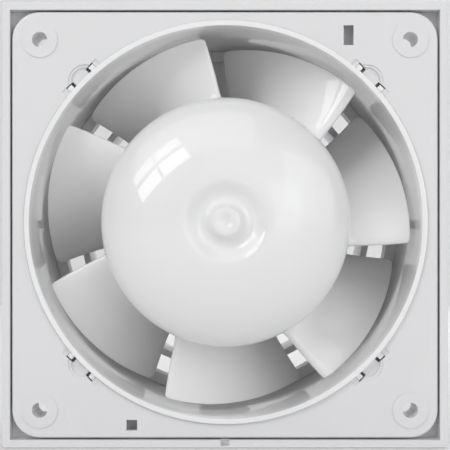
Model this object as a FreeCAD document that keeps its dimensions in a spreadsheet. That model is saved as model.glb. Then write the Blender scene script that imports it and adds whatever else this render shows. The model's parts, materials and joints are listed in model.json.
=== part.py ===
import FreeCAD, Part
import math
import os
import re
import Sketcher
from FreeCAD import Placement, Rotation, Vector

# Bathroom extractor fan: an axial fan in a square wall frame, with its front panel off.
# Millimetres. +Z is up, the fan faces -Y, and the origin is on the fan's axis at the wall's face.
# Air comes in at the front (-Y) and leaves through the duct sleeve (+Y).

doc = FreeCAD.newDocument("bathroom_extractor_fan")

# ---------------------------------------------------------------- driving dimensions

SIZES = {
    # surround frame: a square tray that lies on the wall
    "frame_side": 165.0,
    "frame_front": -17.5,
    "lip_width": 2.95,
    "frame_wall": 2.0,
    "floor_front": -11.2,
    "floor_back": -9.2,
    "centre_x": -0.3,
    "centre_z": -1.0,
    "frame_bevel": 0.8,
    "notch_width": 3.2,
    "notch_height": 2.2,
    "notch_depth": 3.0,
    # base plate, which fills the tray with a gap all round
    "plate_side": 157.85,
    "plate_corner": 10.3,
    "plate_front": -16.6,
    "plate_thickness": 2.4,
    "plate_edge": 0.8,
    "plate_bore": 74.95,
    "boss_radius": 6.6,
    "boss_rise": 0.5,
    "screw_radius": 2.85,
    "screw_spacing": 137.2,
    "tall_window_x": 45.5,
    "tall_window_z": 69.3,
    "tall_window_width": 3.7,
    "tall_window_height": 7.4,
    "small_window_x": -34.8,
    "small_window_z": -75.2,
    "small_window_side": 3.95,
    "pocket_radius": 5.3,
    "pocket_place": 73.8,
    "pocket_depth": 1.6,
    "ledge_radius": 6.3,
    "ledge_depth": 0.6,
    "slot_length": 17.4,
    "slot_outside": 77.0,
    "slot_depth": 0.5,
    "lug_hole_width": 3.4,
    "lug_hole_offset": 5.0,
    "mark_depth": 0.12,
    # duct sleeve with its inlet rim and snap lugs
    "ring_front": -18.0,
    "duct_radius": 72.7,
    "ring_radius": 74.7,
    "rim_round": 0.45,
    "spigot_radius": 74.0,
    "spigot_start": 0.0,
    "duct_rear": 78.0,
    "lug_width": 2.2,
    "lug_offset": 5.5,
    "lug_outside": 76.5,
    "lug_front": -16.3,
    "seal_radius": 78.4,
    # motor spider and cup: rings, arms and the cup behind the motor
    "ring_plane": 44.0,
    "outer_ring_inside": 68.3,
    "outer_ring_outside": 72.6,
    "outer_ring_length": 10.0,
    "middle_ring_inside": 58.7,
    "middle_ring_outside": 61.3,
    "cup_inside": 45.2,
    "cup_outside": 47.0,
    "arm_front": 47.0,
    "arm_rear": 74.0,
    "wide_arm": 17.0,
    "narrow_arm": 3.0,
    "arm_wall": 2.0,
    "arm_rib": 2.5,
    "arm_rib_rise": 1.5,
    "plate_hole": 9.0,
    "lead_hole": 1.5,
    "column_radius": 4.0,
    "column_place": 39.0,
    "entry_pad_inside": 44.0,
    "entry_pad_width": 17.0,
    "entry_y": 61.0,
    "grommet_neck": 4.8,
    "grommet_flange": 6.2,
    "grommet_bore": 3.6,
    "grommet_lip": 1.5,
    "cover_thickness": 2.0,
    "cover_rim_radius": 33.5,
    # impeller
    "hub_radius": 46.0,
    "hub_wall": 2.0,
    "dome_height": 18.0,
    "hub_rear": 36.0,
    "shaft_boss": 6.0,
    "boss_rear": 0.0,
    "blade_tip": 70.4,
    "blade_count": 7,
    "blade_span": 44.5,
    "blade_first": 22.0,
    "blade_sweep": 3.6,
    "blade_front": -4.0,
    "blade_rear": 30.0,
    "blade_root_thickness": 2.6,
    "blade_tip_thickness": 1.7,
    "rib_thickness": 1.5,
    "rib_rear": -6.0,
    # motor
    "shaft_radius": 2.5,
    "shaft_front": -24.0,
    "shaft_rear": 42.5,
    "bush_bore": 2.53,
    "bush_radius": 5.5,
    "bush_length": 6.0,
    "stack_front": 13.0,
    "stack_rear": 31.0,
    "stack_half_width": 20.0,
    "stack_top": 18.0,
    "stack_bottom": -31.0,
    "window_half_width": 12.5,
    "window_top": -14.0,
    "core_top": -22.0,
    "stator_bore": 12.8,
    "rotor_radius": 12.5,
    "cage_inside": 7.5,
    "cage_outside": 12.0,
    "cage_ring": 2.5,
    "cage_bar": 1.0,
    "cage_bar_place": 10.4,
    "cage_bars": 12,
    "shading_place": 14.6,
    "shading_bar": 1.6,
    "tie_place": 16.5,
    "tie_radius": 1.5,
    "mount_x": 14.0,
    "mount_z": 9.0,
    "damper_radius": 4.0,
    "lead_radius": 1.0,
    "lead_x": 6.0,
    "lead_z": -19.5,
    "lead_bend": 6.0,
}

sheet = doc.addObject("Spreadsheet::Sheet", "Sizes")
for row, (alias, value) in enumerate(SIZES.items(), start=1):
    sheet.set(f"A{row}", alias)
    sheet.set(f"B{row}", str(value))
    sheet.setAlias(f"B{row}", alias)
doc.recompute()

ALONG_Y = Rotation(Vector(1, 0, 0), -90)
ALONG_X = Rotation(Vector(0, 1, 0), 90)


def size(alias):
    """A driving dimension as a number, for the shapes that code works out."""
    return float(sheet.get(alias))


def linked(text):
    """An expression in which every driving dimension points at its cell."""
    return re.sub(r"[a-z_]\w*", lambda word: prefixed(word.group(0)), str(text))


def prefixed(word):
    return f"Sizes.{word}" if word in SIZES else word


def number(text):
    """The present value of an expression."""
    return float(sheet.evalExpression(linked(text)))


def bind(piece, expressions):
    for path, text in expressions.items():
        piece.setExpression(path, linked(text))


# ---------------------------------------------------------------- Part primitives and booleans

def rod(name, radius, start, length, x=0, z=0):
    """A solid cylinder along +Y that starts at a given y."""
    piece = doc.addObject("Part::Cylinder", name)
    piece.Placement = Placement(Vector(), ALONG_Y)
    bind(piece, {
        "Radius": radius,
        "Height": length,
        "Placement.Base.x": x,
        "Placement.Base.y": start,
        "Placement.Base.z": z,
    })
    return piece


def block(name, x, y, z):
    """A box between the two limits given for each axis."""
    piece = doc.addObject("Part::Box", name)
    bind(piece, {
        "Length": f"({x[1]}) - ({x[0]})",
        "Width": f"({y[1]}) - ({y[0]})",
        "Height": f"({z[1]}) - ({z[0]})",
        "Placement.Base.x": x[0],
        "Placement.Base.y": y[0],
        "Placement.Base.z": z[0],
    })
    return piece


def fuse(name, pieces):
    piece = doc.addObject("Part::MultiFuse", name)
    piece.Shapes = pieces
    return piece


def cut(name, base, tool):
    piece = doc.addObject("Part::Cut", name)
    piece.Base = base
    piece.Tool = tool
    return piece


def group(name, pieces):
    """Identical pieces that stay separate solids in one node."""
    piece = doc.addObject("Part::Compound", name)
    piece.Links = pieces
    return piece


def tube(name, outside, inside, start, length, x=0, z=0):
    outer = rod(f"{name}_outside", outside, start, length, x, z)
    inner = rod(f"{name}_inside", inside, start, length, x, z)
    return cut(name, outer, inner)


def screw(name, radius, head_radius, head_y, head_length, tip_y, x, z):
    """A cross-head screw along Y: head_y is where the head meets the clamped face."""
    toward_tip = 1 if number(tip_y) > number(head_y) else -1
    if toward_tip > 0:
        head = rod(f"{name}_head", head_radius, f"({head_y}) - ({head_length})", head_length, x, z)
        shank = rod(f"{name}_shank", radius, head_y, f"({tip_y}) - ({head_y})", x, z)
        drive_y = (f"({head_y}) - ({head_length})", f"({head_y}) - ({head_length}) * 0.4")
    else:
        head = rod(f"{name}_head", head_radius, head_y, head_length, x, z)
        shank = rod(f"{name}_shank", radius, tip_y, f"({head_y}) - ({tip_y})", x, z)
        drive_y = (f"({head_y}) + ({head_length}) * 0.4", f"({head_y}) + ({head_length})")
    arm = f"({head_radius}) * 0.6"
    slit = f"({head_radius}) * 0.14"
    wide = (f"({x}) - {arm}", f"({x}) + {arm}")
    narrow = (f"({x}) - {slit}", f"({x}) + {slit}")
    tall = (f"({z}) - {arm}", f"({z}) + {arm}")
    thin = (f"({z}) - {slit}", f"({z}) + {slit}")
    across = block(f"{name}_drive_across", wide, drive_y, thin)
    upright = block(f"{name}_drive_upright", narrow, drive_y, tall)
    body = fuse(f"{name}_body", [head, shank])
    return cut(name, body, fuse(f"{name}_drive", [across, upright]))


# ---------------------------------------------------------------- PartDesign bodies

def new_body(label):
    return doc.addObject("PartDesign::Body", label)


def front_sketch(body, name, y, turn=0):
    """A sketch that faces the front (-Y): its x is X and its y is Z."""
    sketch = body.newObject("Sketcher::SketchObject", name)
    sketch.AttachmentSupport = (origin_feature(body, "XZ_Plane"), [""])
    sketch.MapMode = "FlatFace"
    sketch.AttachmentOffset = Placement(Vector(), Rotation(Vector(0, 0, 1), turn))
    sketch.setExpression(".AttachmentOffset.Base.z", linked(f"-({y})"))
    return sketch


def side_sketch(body, name):
    """A sketch of a section through the axis: its x is the radius and its y is Y."""
    sketch = body.newObject("Sketcher::SketchObject", name)
    sketch.AttachmentSupport = (origin_feature(body, "XY_Plane"), [""])
    sketch.MapMode = "FlatFace"
    return sketch


def origin_feature(body, role):
    for feature in body.Origin.OriginFeatures:
        if feature.Role == role:
            return feature
    raise ValueError(role)


def dimension(sketch, kind, where, text):
    constraint = Sketcher.Constraint(kind, *where, number(text))
    index = sketch.addConstraint(constraint)
    sketch.setExpression(f"Constraints[{index}]", linked(text))


def place_point(sketch, geometry, point, x, z):
    """Ties a point of the sketch to the origin by two bound distances."""
    dimension(sketch, "DistanceX", (-1, 1, geometry, point), x)
    dimension(sketch, "DistanceY", (-1, 1, geometry, point), z)


def circle(sketch, radius, x="0", z="0"):
    centre = Vector(number(x), number(z), 0)
    curve = sketch.addGeometry(Part.Circle(centre, Vector(0, 0, 1), number(radius)), False)
    dimension(sketch, "Radius", (curve,), radius)
    place_point(sketch, curve, 3, x, z)


def polygon(sketch, points):
    """A closed outline of straight runs, with every corner bound."""
    corners = [Vector(number(x), number(z), 0) for x, z in points]
    count = len(corners)
    lines = []
    for index in range(count):
        run = Part.LineSegment(corners[index], corners[(index + 1) % count])
        lines.append(sketch.addGeometry(run, False))
    for index in range(count):
        following = lines[(index + 1) % count]
        sketch.addConstraint(Sketcher.Constraint("Coincident", lines[index], 2, following, 1))
    for index, (x, z) in enumerate(points):
        place_point(sketch, lines[index], 1, x, z)


def rectangle(sketch, width, height, x="0", z="0"):
    left = f"({x}) - ({width}) / 2"
    right = f"({x}) + ({width}) / 2"
    low = f"({z}) - ({height}) / 2"
    high = f"({z}) + ({height}) / 2"
    polygon(sketch, [(left, low), (right, low), (right, high), (left, high)])


def pad(body, sketch, length):
    """Adds material from the sketch towards the front."""
    feature = body.newObject("PartDesign::Pad", f"{sketch.Name}_pad")
    feature.Profile = sketch
    feature.setExpression("Length", linked(length))
    return feature


def pocket(body, sketch, depth, forwards=False):
    """Cuts from the sketch towards the wall, or towards the front."""
    before = body.Shape.Volume
    feature = body.newObject("PartDesign::Pocket", f"{sketch.Name}_pocket")
    feature.Profile = sketch
    feature.Reversed = forwards
    feature.setExpression("Length", linked(depth))
    doc.recompute()
    if body.Shape.Volume >= before:
        raise ValueError(f"{sketch.Name} cuts nothing")
    return feature


def around(body, features, count):
    """Repeats features round the fan's axis."""
    pattern = body.newObject("PartDesign::PolarPattern", f"{features[0].Name}_pattern")
    pattern.Originals = features
    pattern.Axis = (origin_feature(body, "Y_Axis"), [""])
    pattern.Angle = 360
    pattern.Occurrences = count
    body.Tip = pattern
    doc.recompute()
    return pattern


def turned(body, sketch):
    feature = body.newObject("PartDesign::Revolution", f"{sketch.Name}_turned")
    feature.Profile = sketch
    feature.ReferenceAxis = (sketch, ["V_Axis"])
    feature.Angle = 360
    doc.recompute()
    return feature


def rounded(body, kind, edges, amount):
    """A Fillet or Chamfer on edges of the body's last shape."""
    base = body.Tip
    feature = body.newObject(f"PartDesign::{kind}", f"{body.Name}_{kind}_{len(body.Group)}")
    feature.Base = (base, edges)
    feature.setExpression("Radius" if kind == "Fillet" else "Size", linked(amount))
    doc.recompute()
    return feature


def edge_names(shape, test):
    return [f"Edge{index}" for index, edge in enumerate(shape.Edges, start=1) if test(edge)]


def is_along_y(edge):
    ends = [vertex.Point for vertex in edge.Vertexes]
    if len(ends) != 2:
        return False
    run = ends[1] - ends[0]
    return abs(run.x) < 1e-6 and abs(run.z) < 1e-6


def lies_at_y(edge, y):
    box = edge.BoundBox
    return abs(box.YMin - y) < 1e-4 and abs(box.YMax - y) < 1e-4


def centred(spacing, side, centre):
    """The place of one of a row of two: side is -1 or 1."""
    return f"({centre}) + ({side}) * ({spacing}) / 2"


def screw_places():
    places = []
    for across in (-1, 1):
        for up in (-1, 1):
            x = centred("screw_spacing", across, "centre_x")
            z = centred("screw_spacing", up, "centre_z")
            places.append((x, z))
    return places


def four_circles(body, name, y, radius):
    sketch = front_sketch(body, name, y)
    for x, z in screw_places():
        circle(sketch, radius, x, z)
    return sketch


# ---------------------------------------------------------------- places that several pieces share

# The stack's coil leg, and how the bobbin and the winding grow round it.
CORE_MIDDLE_Y = "(stack_front + stack_rear) / 2"
CORE_MIDDLE_Z = "(stack_bottom + core_top) / 2"
CORE_HALF_Y = "(stack_rear - stack_front) / 2"
CORE_HALF_Z = "(core_top - stack_bottom) / 2"
BOBBIN_PLAY = 0.2
BOBBIN_WALL = 0.9
FLANGE_RISE = 6.3
FLANGE_THICKNESS = 0.9
COIL_RISE = 5.7

# The mains connection in the cup behind the motor.
TERMINAL_X = 12.0
TERMINAL_Z = (15.0, 27.0)
TERMINAL_POLES = (-6.0, 6.0)
CLAMP_Z = (33.0, 38.0)
CLAMP_X = 9.0
CLAMP_SCREW = 1.4


# ---------------------------------------------------------------- housing

def surround_frame():
    body = new_body("surround_frame")
    outline = front_sketch(body, "frame_outline", "0")
    rectangle(outline, "frame_side", "frame_side", "centre_x", "centre_z")
    pad(body, outline, "-frame_front")
    doc.recompute()

    upright = edge_names(body.Shape, is_along_y)
    rounded(body, "Fillet", upright, "frame_bevel")
    front_edges = edge_names(body.Shape, lambda edge: lies_at_y(edge, number("frame_front")))
    rounded(body, "Fillet", front_edges, "frame_bevel / 2")

    tray = front_sketch(body, "frame_tray", "frame_front")
    rectangle(tray, "frame_side - 2 * lip_width", "frame_side - 2 * lip_width", "centre_x", "centre_z")
    pocket(body, tray, "floor_front - frame_front")

    hollow = front_sketch(body, "frame_hollow", "0")
    inside = "frame_side - 2 * frame_wall"
    rectangle(hollow, inside, inside, "centre_x", "centre_z")
    pocket(body, hollow, "-floor_back", forwards=True)

    columns = four_circles(body, "frame_columns", "0", "boss_radius")
    pad(body, columns, "-floor_back")
    doc.recompute()

    opening = front_sketch(body, "frame_opening", "frame_front")
    circle(opening, "plate_bore")
    pocket(body, opening, "-frame_front")

    holes = four_circles(body, "frame_holes", "floor_front", "screw_radius")
    pocket(body, holes, "-floor_front")

    notch = front_sketch(body, "frame_notch", "frame_front")
    notch_z = "centre_z - frame_side / 2 + lip_width - notch_height / 2 + 0.2"
    rectangle(notch, "notch_width", "notch_height + 0.4", "centre_x", notch_z)
    pocket(body, notch, "notch_depth")
    return body


def base_plate():
    body = new_body("base_plate")
    outline = front_sketch(body, "plate_outline", "plate_front + plate_thickness")
    rectangle(outline, "plate_side", "plate_side", "centre_x", "centre_z")
    pad(body, outline, "plate_thickness")
    doc.recompute()
    rounded(body, "Fillet", edge_names(body.Shape, is_along_y), "plate_corner")
    front_edges = edge_names(body.Shape, lambda edge: lies_at_y(edge, number("plate_front")))
    rounded(body, "Fillet", front_edges, "plate_edge")

    raised = four_circles(body, "plate_bosses", "plate_front", "boss_radius")
    pad(body, raised, "boss_rise")
    feet = four_circles(body, "plate_feet", "floor_front", "boss_radius")
    pad(body, feet, "floor_front - plate_front - plate_thickness")
    doc.recompute()

    opening = front_sketch(body, "plate_opening", "plate_front")
    circle(opening, "plate_bore")
    pocket(body, opening, "plate_thickness")

    holes = four_circles(body, "plate_holes", "plate_front - boss_rise", "screw_radius")
    pocket(body, holes, "floor_front - plate_front + boss_rise")

    windows = front_sketch(body, "plate_windows", "plate_front")
    rectangle(windows, "tall_window_width", "tall_window_height", "tall_window_x", "tall_window_z")
    rectangle(windows, "small_window_side", "small_window_side", "small_window_x", "small_window_z")
    pocket(body, windows, "plate_thickness")

    # Ejector marks of the mould: shallow discs and rings on the front face.
    for index, (x, z, radius) in enumerate(((-53.8, -70.2, 6.1), (-69.7, -32.5, 5.2), (35.9, -70.2, 3.3))):
        mark = front_sketch(body, f"plate_mark_{index + 1}", "plate_front")
        circle(mark, str(radius), str(x), str(z))
        pocket(body, mark, "mark_depth")

    # The sleeve's snap places: a half-moon pocket with a ledge, and a slot with holes for two lugs.
    half_moon = front_sketch(body, "plate_half_moon", "plate_front", 45)
    circle(half_moon, "pocket_radius", "0", "pocket_place")
    first = pocket(body, half_moon, "pocket_depth")
    ledge = front_sketch(body, "plate_ledge", "plate_front", 45)
    circle(ledge, "ledge_radius", "0", "pocket_place")
    second = pocket(body, ledge, "ledge_depth")
    slot = front_sketch(body, "plate_slot", "plate_front", 45)
    rectangle(slot, "slot_length", "slot_outside - 70", "0", "(slot_outside + 70) / 2")
    third = pocket(body, slot, "slot_depth")
    lug_holes = front_sketch(body, "plate_lug_holes", "plate_front", 45)
    for side in (-1, 1):
        rectangle(lug_holes, "lug_hole_width", "slot_outside - 70", f"({side}) * lug_hole_offset",
                  "(slot_outside + 70) / 2")
    fourth = pocket(body, lug_holes, "plate_thickness")
    around(body, [first, second, third, fourth], 4)
    return body


def duct_sleeve():
    body = new_body("duct_sleeve")
    section = side_sketch(body, "sleeve_section")
    polygon(section, [
        ("duct_radius", "ring_front"),
        ("ring_radius", "ring_front"),
        ("ring_radius", "spigot_start"),
        ("spigot_radius", "spigot_start"),
        ("spigot_radius", "duct_rear"),
        ("duct_radius", "duct_rear"),
    ])
    turned(body, section)
    rim = edge_names(body.Shape, lambda edge: lies_at_y(edge, number("ring_front")))
    rounded(body, "Fillet", rim, "rim_round")

    lugs = front_sketch(body, "sleeve_lugs", "floor_front", 45)
    for side in (-1, 1):
        middle = "(lug_outside + ring_radius - 0.6) / 2"
        height = "lug_outside - ring_radius + 0.6"
        rectangle(lugs, "lug_width", height, f"({side}) * lug_offset", middle)
    feature = pad(body, lugs, "floor_front - lug_front")
    doc.recompute()
    around(body, [feature], 4)
    return body


def foam_seal():
    return tube("foam_seal", "seal_radius", "ring_radius + 0.1", "floor_back", "-floor_back")


# ---------------------------------------------------------------- motor cup, its spider and what it holds

def motor_cup():
    """The cup behind the motor, which the spider's arms carry: cup and spider are one moulding."""
    cup = tube("cup_wall", "cup_outside", "cup_inside", "arm_front", "arm_rear - arm_front")
    floor = rod("cup_floor", "cup_outside", "ring_plane", "arm_front - ring_plane")
    columns = []
    for side, direction in (("right", 1), ("left", -1)):
        columns.append(rod(f"cup_column_{side}", "column_radius", "arm_front - 0.5",
                           "arm_rear - arm_front + 0.5", f"({direction}) * column_place"))
    half_pad = "entry_pad_width / 2"
    entry_pad = block("cup_entry_pad", (f"-{half_pad}", half_pad),
                      ("arm_front", "arm_rear"), ("entry_pad_inside", "cup_outside"))
    blank = fuse("cup_blank", [cup, floor, entry_pad] + columns)
    outline = rod("cup_outline", "cup_outside", "ring_plane", "arm_rear - ring_plane")
    solid = doc.addObject("Part::Common", "cup_solid")
    solid.Base = blank
    solid.Tool = outline

    through_start = "ring_plane - 1"
    through_length = "arm_front - ring_plane + 2"
    openings = [rod("cup_shaft_hole", "plate_hole", through_start, through_length)]
    for across in (-1, 1):
        for up in (-1, 1):
            openings.append(rod(f"cup_mount_hole_{across + 2}_{up + 2}", "tie_radius + 0.2",
                                through_start, through_length,
                                f"({across}) * mount_x", f"({up}) * mount_z"))
        openings.append(rod(f"cup_lead_hole_{across + 2}", "lead_hole", through_start, through_length,
                            f"({across}) * lead_x", "lead_z"))
        openings.append(rod(f"cup_pilot_{across + 2}", "tie_radius", "arm_rear - 15", "16",
                            f"({across}) * column_place"))
        openings.append(rod(f"cup_clamp_pilot_{across + 2}", CLAMP_SCREW + 0.05, through_start, 5,
                            across * CLAMP_X, sum(CLAMP_Z) / 2))
    entry = doc.addObject("Part::Cylinder", "cup_entry_hole")
    bind(entry, {
        "Radius": "grommet_neck",
        "Height": "cup_outside - entry_pad_inside + 4",
        "Placement.Base.y": "entry_y",
        "Placement.Base.z": "entry_pad_inside - 2",
    })
    openings.append(entry)
    return cut("motor_cup", solid, fuse("cup_openings", openings))


def motor_spider():
    """Two rings and four arms, which hold the cup in the sleeve; the arms meet the cup face to face."""
    outer = tube("spider_outer_ring", "outer_ring_outside", "outer_ring_inside",
                 "ring_plane", "outer_ring_length")
    middle = tube("spider_middle_ring", "middle_ring_outside", "middle_ring_inside",
                  "arm_front", "arm_rear - arm_front")
    reach = "outer_ring_inside + 2"
    root = "cup_inside + 0.8"
    both = ("arm_front", "arm_rear")
    arms = []
    for side, direction in (("right", 1), ("left", -1)):
        span = sorted((f"({direction}) * ({root})", f"({direction}) * ({reach})"), key=number)
        arms.append(block(f"spider_arm_{side}", span, both, ("-narrow_arm / 2", "narrow_arm / 2")))
    inner = "wide_arm / 2 - arm_wall"
    for side, direction in (("top", 1), ("bottom", -1)):
        span = sorted((f"({direction}) * ({root})", f"({direction}) * ({reach})"), key=number)
        half = "wide_arm / 2"
        solid = block(f"spider_arm_{side}_solid", (f"-{half}", half), both, span)
        channel = block(f"spider_arm_{side}_channel", (f"-({inner})", inner),
                        ("arm_front + arm_wall", "arm_rear + 1"), span)
        arms.append(cut(f"spider_arm_{side}", solid, channel))
        arms.append(block(f"spider_rib_{side}", ("-arm_rib / 2", "arm_rib / 2"),
                          ("arm_front - arm_rib_rise", "arm_front + 0.5"), span))
    openings = [
        rod("spider_cup_place", "cup_outside", "ring_plane - 1", "arm_rear - ring_plane + 2"),
        block("spider_cable_way", (f"-({inner})", inner),
              ("arm_front + arm_wall", "arm_rear + 1"), ("cup_outside - 2", "outer_ring_outside + 1")),
    ]
    return cut("motor_spider", fuse("spider_solid", [outer, middle] + arms), fuse("spider_openings", openings))


def cable_grommet():
    """A rubber ring in the cup's wall, seen from above: a neck between two lips."""
    def ring(name, radius, start, length):
        piece = doc.addObject("Part::Cylinder", name)
        bind(piece, {
            "Radius": radius,
            "Height": length,
            "Placement.Base.y": "entry_y",
            "Placement.Base.z": start,
        })
        return piece

    neck = ring("grommet_middle", "grommet_neck", "entry_pad_inside", "cup_outside - entry_pad_inside")
    inner_lip = ring("grommet_inner_lip", "grommet_flange", "entry_pad_inside - grommet_lip", "grommet_lip")
    outer_lip = ring("grommet_outer_lip", "grommet_flange", "cup_outside", "grommet_lip")
    bore = ring("grommet_hole", "grommet_bore", "entry_pad_inside - grommet_lip - 1",
                "cup_outside - entry_pad_inside + 2 * grommet_lip + 2")
    return cut("cable_grommet", fuse("grommet_solid", [neck, inner_lip, outer_lip]), bore)


def rear_cover():
    disc = rod("cover_disc", "cup_outside - 0.2", "arm_rear", "cover_thickness")
    rim = tube("cover_rim", "cover_rim_radius", "cover_rim_radius - 2", "arm_rear - 2", "2.5")
    solid = fuse("cover_solid", [disc, rim])
    openings = []
    for row in range(5):
        z = -16 + 4 * row
        half = math.sqrt(26.0 ** 2 - z ** 2)
        openings.append(block(f"cover_vent_{row + 1}", (-half, half), ("arm_rear - 1", "arm_rear + 3"),
                              (z - 0.9, z + 0.9)))
    for across in (-1, 1):
        openings.append(rod(f"cover_hole_{across + 2}", "tie_radius + 0.2", "arm_rear - 1",
                            "cover_thickness + 2", f"({across}) * column_place"))
    return cut("rear_cover", solid, fuse("cover_openings", openings))


def rear_cover_screws():
    screws = []
    for across in (-1, 1):
        screws.append(screw(f"cover_screw_{across + 2}", "tie_radius - 0.05", 3.0,
                            "arm_rear + cover_thickness", 1.7, "arm_rear - 12",
                            f"({across}) * column_place", "0"))
    return group("rear_cover_screws", screws)


# ---------------------------------------------------------------- mains connection in the cup

def terminal_block():
    base = block("terminal_base", (-TERMINAL_X, TERMINAL_X), ("arm_front", "arm_front + 8"), TERMINAL_Z)
    towers = []
    holes = []
    middle = sum(TERMINAL_Z) / 2
    for index, x in enumerate(TERMINAL_POLES):
        towers.append(block(f"terminal_tower_{index + 1}", (x - 4.2, x + 4.2),
                            ("arm_front + 7", "arm_front + 12"), TERMINAL_Z))
        holes.append(rod(f"terminal_well_{index + 1}", 2.6, "arm_front + 7", 8, x, middle))
        hole = doc.addObject("Part::Cylinder", f"terminal_wire_hole_{index + 1}")
        bind(hole, {
            "Radius": "lead_radius + 0.4",
            "Height": TERMINAL_Z[1] - TERMINAL_Z[0] + 2,
            "Placement.Base.x": x,
            "Placement.Base.y": "arm_front + 5",
            "Placement.Base.z": TERMINAL_Z[0] - 1,
        })
        holes.append(hole)
    return cut("terminal_block", fuse("terminal_solid", [base] + towers), fuse("terminal_holes", holes))


def terminal_screws():
    screws = []
    middle = sum(TERMINAL_Z) / 2
    for index, x in enumerate(TERMINAL_POLES):
        head = rod(f"terminal_screw_head_{index + 1}", 2.3, "arm_front + 7", 3.0, x, middle)
        slit = block(f"terminal_screw_slit_{index + 1}", (x - 2.4, x + 2.4),
                     ("arm_front + 9", "arm_front + 11"), (middle - 0.35, middle + 0.35))
        screws.append(cut(f"terminal_screw_{index + 1}", head, slit))
    return group("terminal_screws", screws)


def cable_clamp():
    """A saddle on two feet, open under its middle, where the cable lies."""
    bar = block("clamp_bar", (-CLAMP_X - 3.5, CLAMP_X + 3.5), ("arm_front", "arm_front + 12"), CLAMP_Z)
    lay = block("clamp_gap", (-4.2, 4.2), ("arm_front - 1", "arm_front + 9"), (CLAMP_Z[0] - 1, CLAMP_Z[1] + 1))
    middle = sum(CLAMP_Z) / 2
    holes = []
    for across in (-1, 1):
        holes.append(rod(f"clamp_hole_{across + 2}", CLAMP_SCREW + 0.05, "arm_front - 1", 14,
                         across * CLAMP_X, middle))
    return cut("cable_clamp", bar, fuse("clamp_openings", [lay] + holes))


def cable_clamp_screws():
    middle = sum(CLAMP_Z) / 2
    screws = []
    for across in (-1, 1):
        screws.append(screw(f"clamp_screw_{across + 2}", CLAMP_SCREW, 2.7, "arm_front + 12", 1.8,
                            "ring_plane", across * CLAMP_X, middle))
    return group("cable_clamp_screws", screws)


def lead(name, direction):
    """A motor lead from the coil, through the bracket and up to the terminal block."""
    radius = size("lead_radius")
    bend = size("lead_bend")
    x = direction * size("lead_x")
    low_z = size("lead_z")
    start_y = number(f"{CORE_MIDDLE_Y} + {CORE_HALF_Y} + {BOBBIN_PLAY + BOBBIN_WALL + COIL_RISE}")
    turn_y = number("arm_front + 5")
    top_z = TERMINAL_Z[0] + 3.0
    corner_start = Vector(x, turn_y - bend, low_z)
    corner_end = Vector(x, turn_y, low_z + bend)
    corner_middle = Vector(x, turn_y - bend + bend * math.sin(math.pi / 4),
                           low_z + bend - bend * math.cos(math.pi / 4))
    start = Vector(x, start_y, low_z)
    path = Part.Wire([
        Part.LineSegment(start, corner_start).toShape(),
        Part.Arc(corner_start, corner_middle, corner_end).toShape(),
        Part.LineSegment(corner_end, Vector(x, turn_y, top_z)).toShape(),
    ])
    section = Part.Wire(Part.Circle(start, Vector(0, 1, 0), radius).toShape())
    piece = doc.addObject("Part::Feature", name)
    piece.Shape = path.makePipeShell([section], True, True)
    piece.Placement = Placement()
    length = (turn_y - bend - start_y) + bend * math.pi / 2 + (top_z - low_z - bend)
    expected = math.pi * radius ** 2 * length
    if abs(piece.Shape.Volume - expected) > 0.02 * expected:
        raise ValueError(f"{name} has the wrong volume")
    return piece


# ---------------------------------------------------------------- motor, fixed side

SHADING_ANGLES = ((130, 165), (310, 345))


def polar(radius, angle):
    """A point of the front view, its angle counted from +X towards +Z."""
    return radius * math.cos(math.radians(angle)), radius * math.sin(math.radians(angle))


def stator_stack():
    body = new_body("stator_stack")
    outline = front_sketch(body, "stack_outline", "stack_rear")
    polygon(outline, [
        ("-stack_half_width", "stack_bottom"),
        ("stack_half_width", "stack_bottom"),
        ("stack_half_width", "stack_top"),
        ("-stack_half_width", "stack_top"),
    ])
    pad(body, outline, "stack_rear - stack_front")
    doc.recompute()
    rounded(body, "Chamfer", edge_names(body.Shape, is_along_y), "3")

    holes = front_sketch(body, "stack_holes", "stack_front")
    circle(holes, "stator_bore")
    polygon(holes, [
        ("-window_half_width", "core_top"),
        ("window_half_width", "core_top"),
        ("window_half_width", "window_top"),
        ("-window_half_width", "window_top"),
    ])
    for across in (-1, 1):
        circle(holes, "tie_radius + 0.1", f"({across}) * tie_place", "0")
    for pair in SHADING_ANGLES:
        for angle in pair:
            place = (f"shading_place * cos({angle})", f"shading_place * sin({angle})")
            rectangle(holes, "shading_bar + 0.2", "shading_bar + 0.2", *place)
    pocket(body, holes, "stack_rear - stack_front")
    return body


def shading_rings():
    """Copper loops: two bars through the stack, joined across both of its faces."""
    half = size("shading_bar") / 2
    front = size("stack_front") - 2 * half
    depth = size("stack_rear") - size("stack_front") + 4 * half
    rings = []
    for index, pair in enumerate(SHADING_ANGLES):
        ends = [Vector(x, 0, z) for x, z in (polar(size("shading_place"), angle) for angle in pair)]
        legs = [Part.makeBox(2 * half, depth, 2 * half, end + Vector(-half, front, -half)) for end in ends]
        run = ends[1] - ends[0]
        bars = []
        for y in (front, front + depth - 2 * half):
            bar = Part.makeBox(run.Length, 2 * half, 2 * half, Vector(0, 0, -half))
            heading = -math.degrees(math.atan2(run.z, run.x))
            bar.Placement = Placement(ends[0] + Vector(0, y, 0), Rotation(Vector(0, 1, 0), heading))
            bars.append(bar)
        ring = doc.addObject("Part::Feature", f"shading_ring_{index + 1}")
        ring.Shape = legs[0].fuse([legs[1]] + bars).removeSplitter()
        rings.append(ring)
    return group("shading_rings", rings)


def around_core(name, half_x, grow):
    """A box round the stack's coil leg, larger than the leg by grow on each side."""
    y = (f"{CORE_MIDDLE_Y} - {CORE_HALF_Y} - {grow}", f"{CORE_MIDDLE_Y} + {CORE_HALF_Y} + {grow}")
    z = (f"{CORE_MIDDLE_Z} - {CORE_HALF_Z} - {grow}", f"{CORE_MIDDLE_Z} + {CORE_HALF_Z} + {grow}")
    return block(name, (f"-({half_x})", half_x), y, z)


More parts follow.
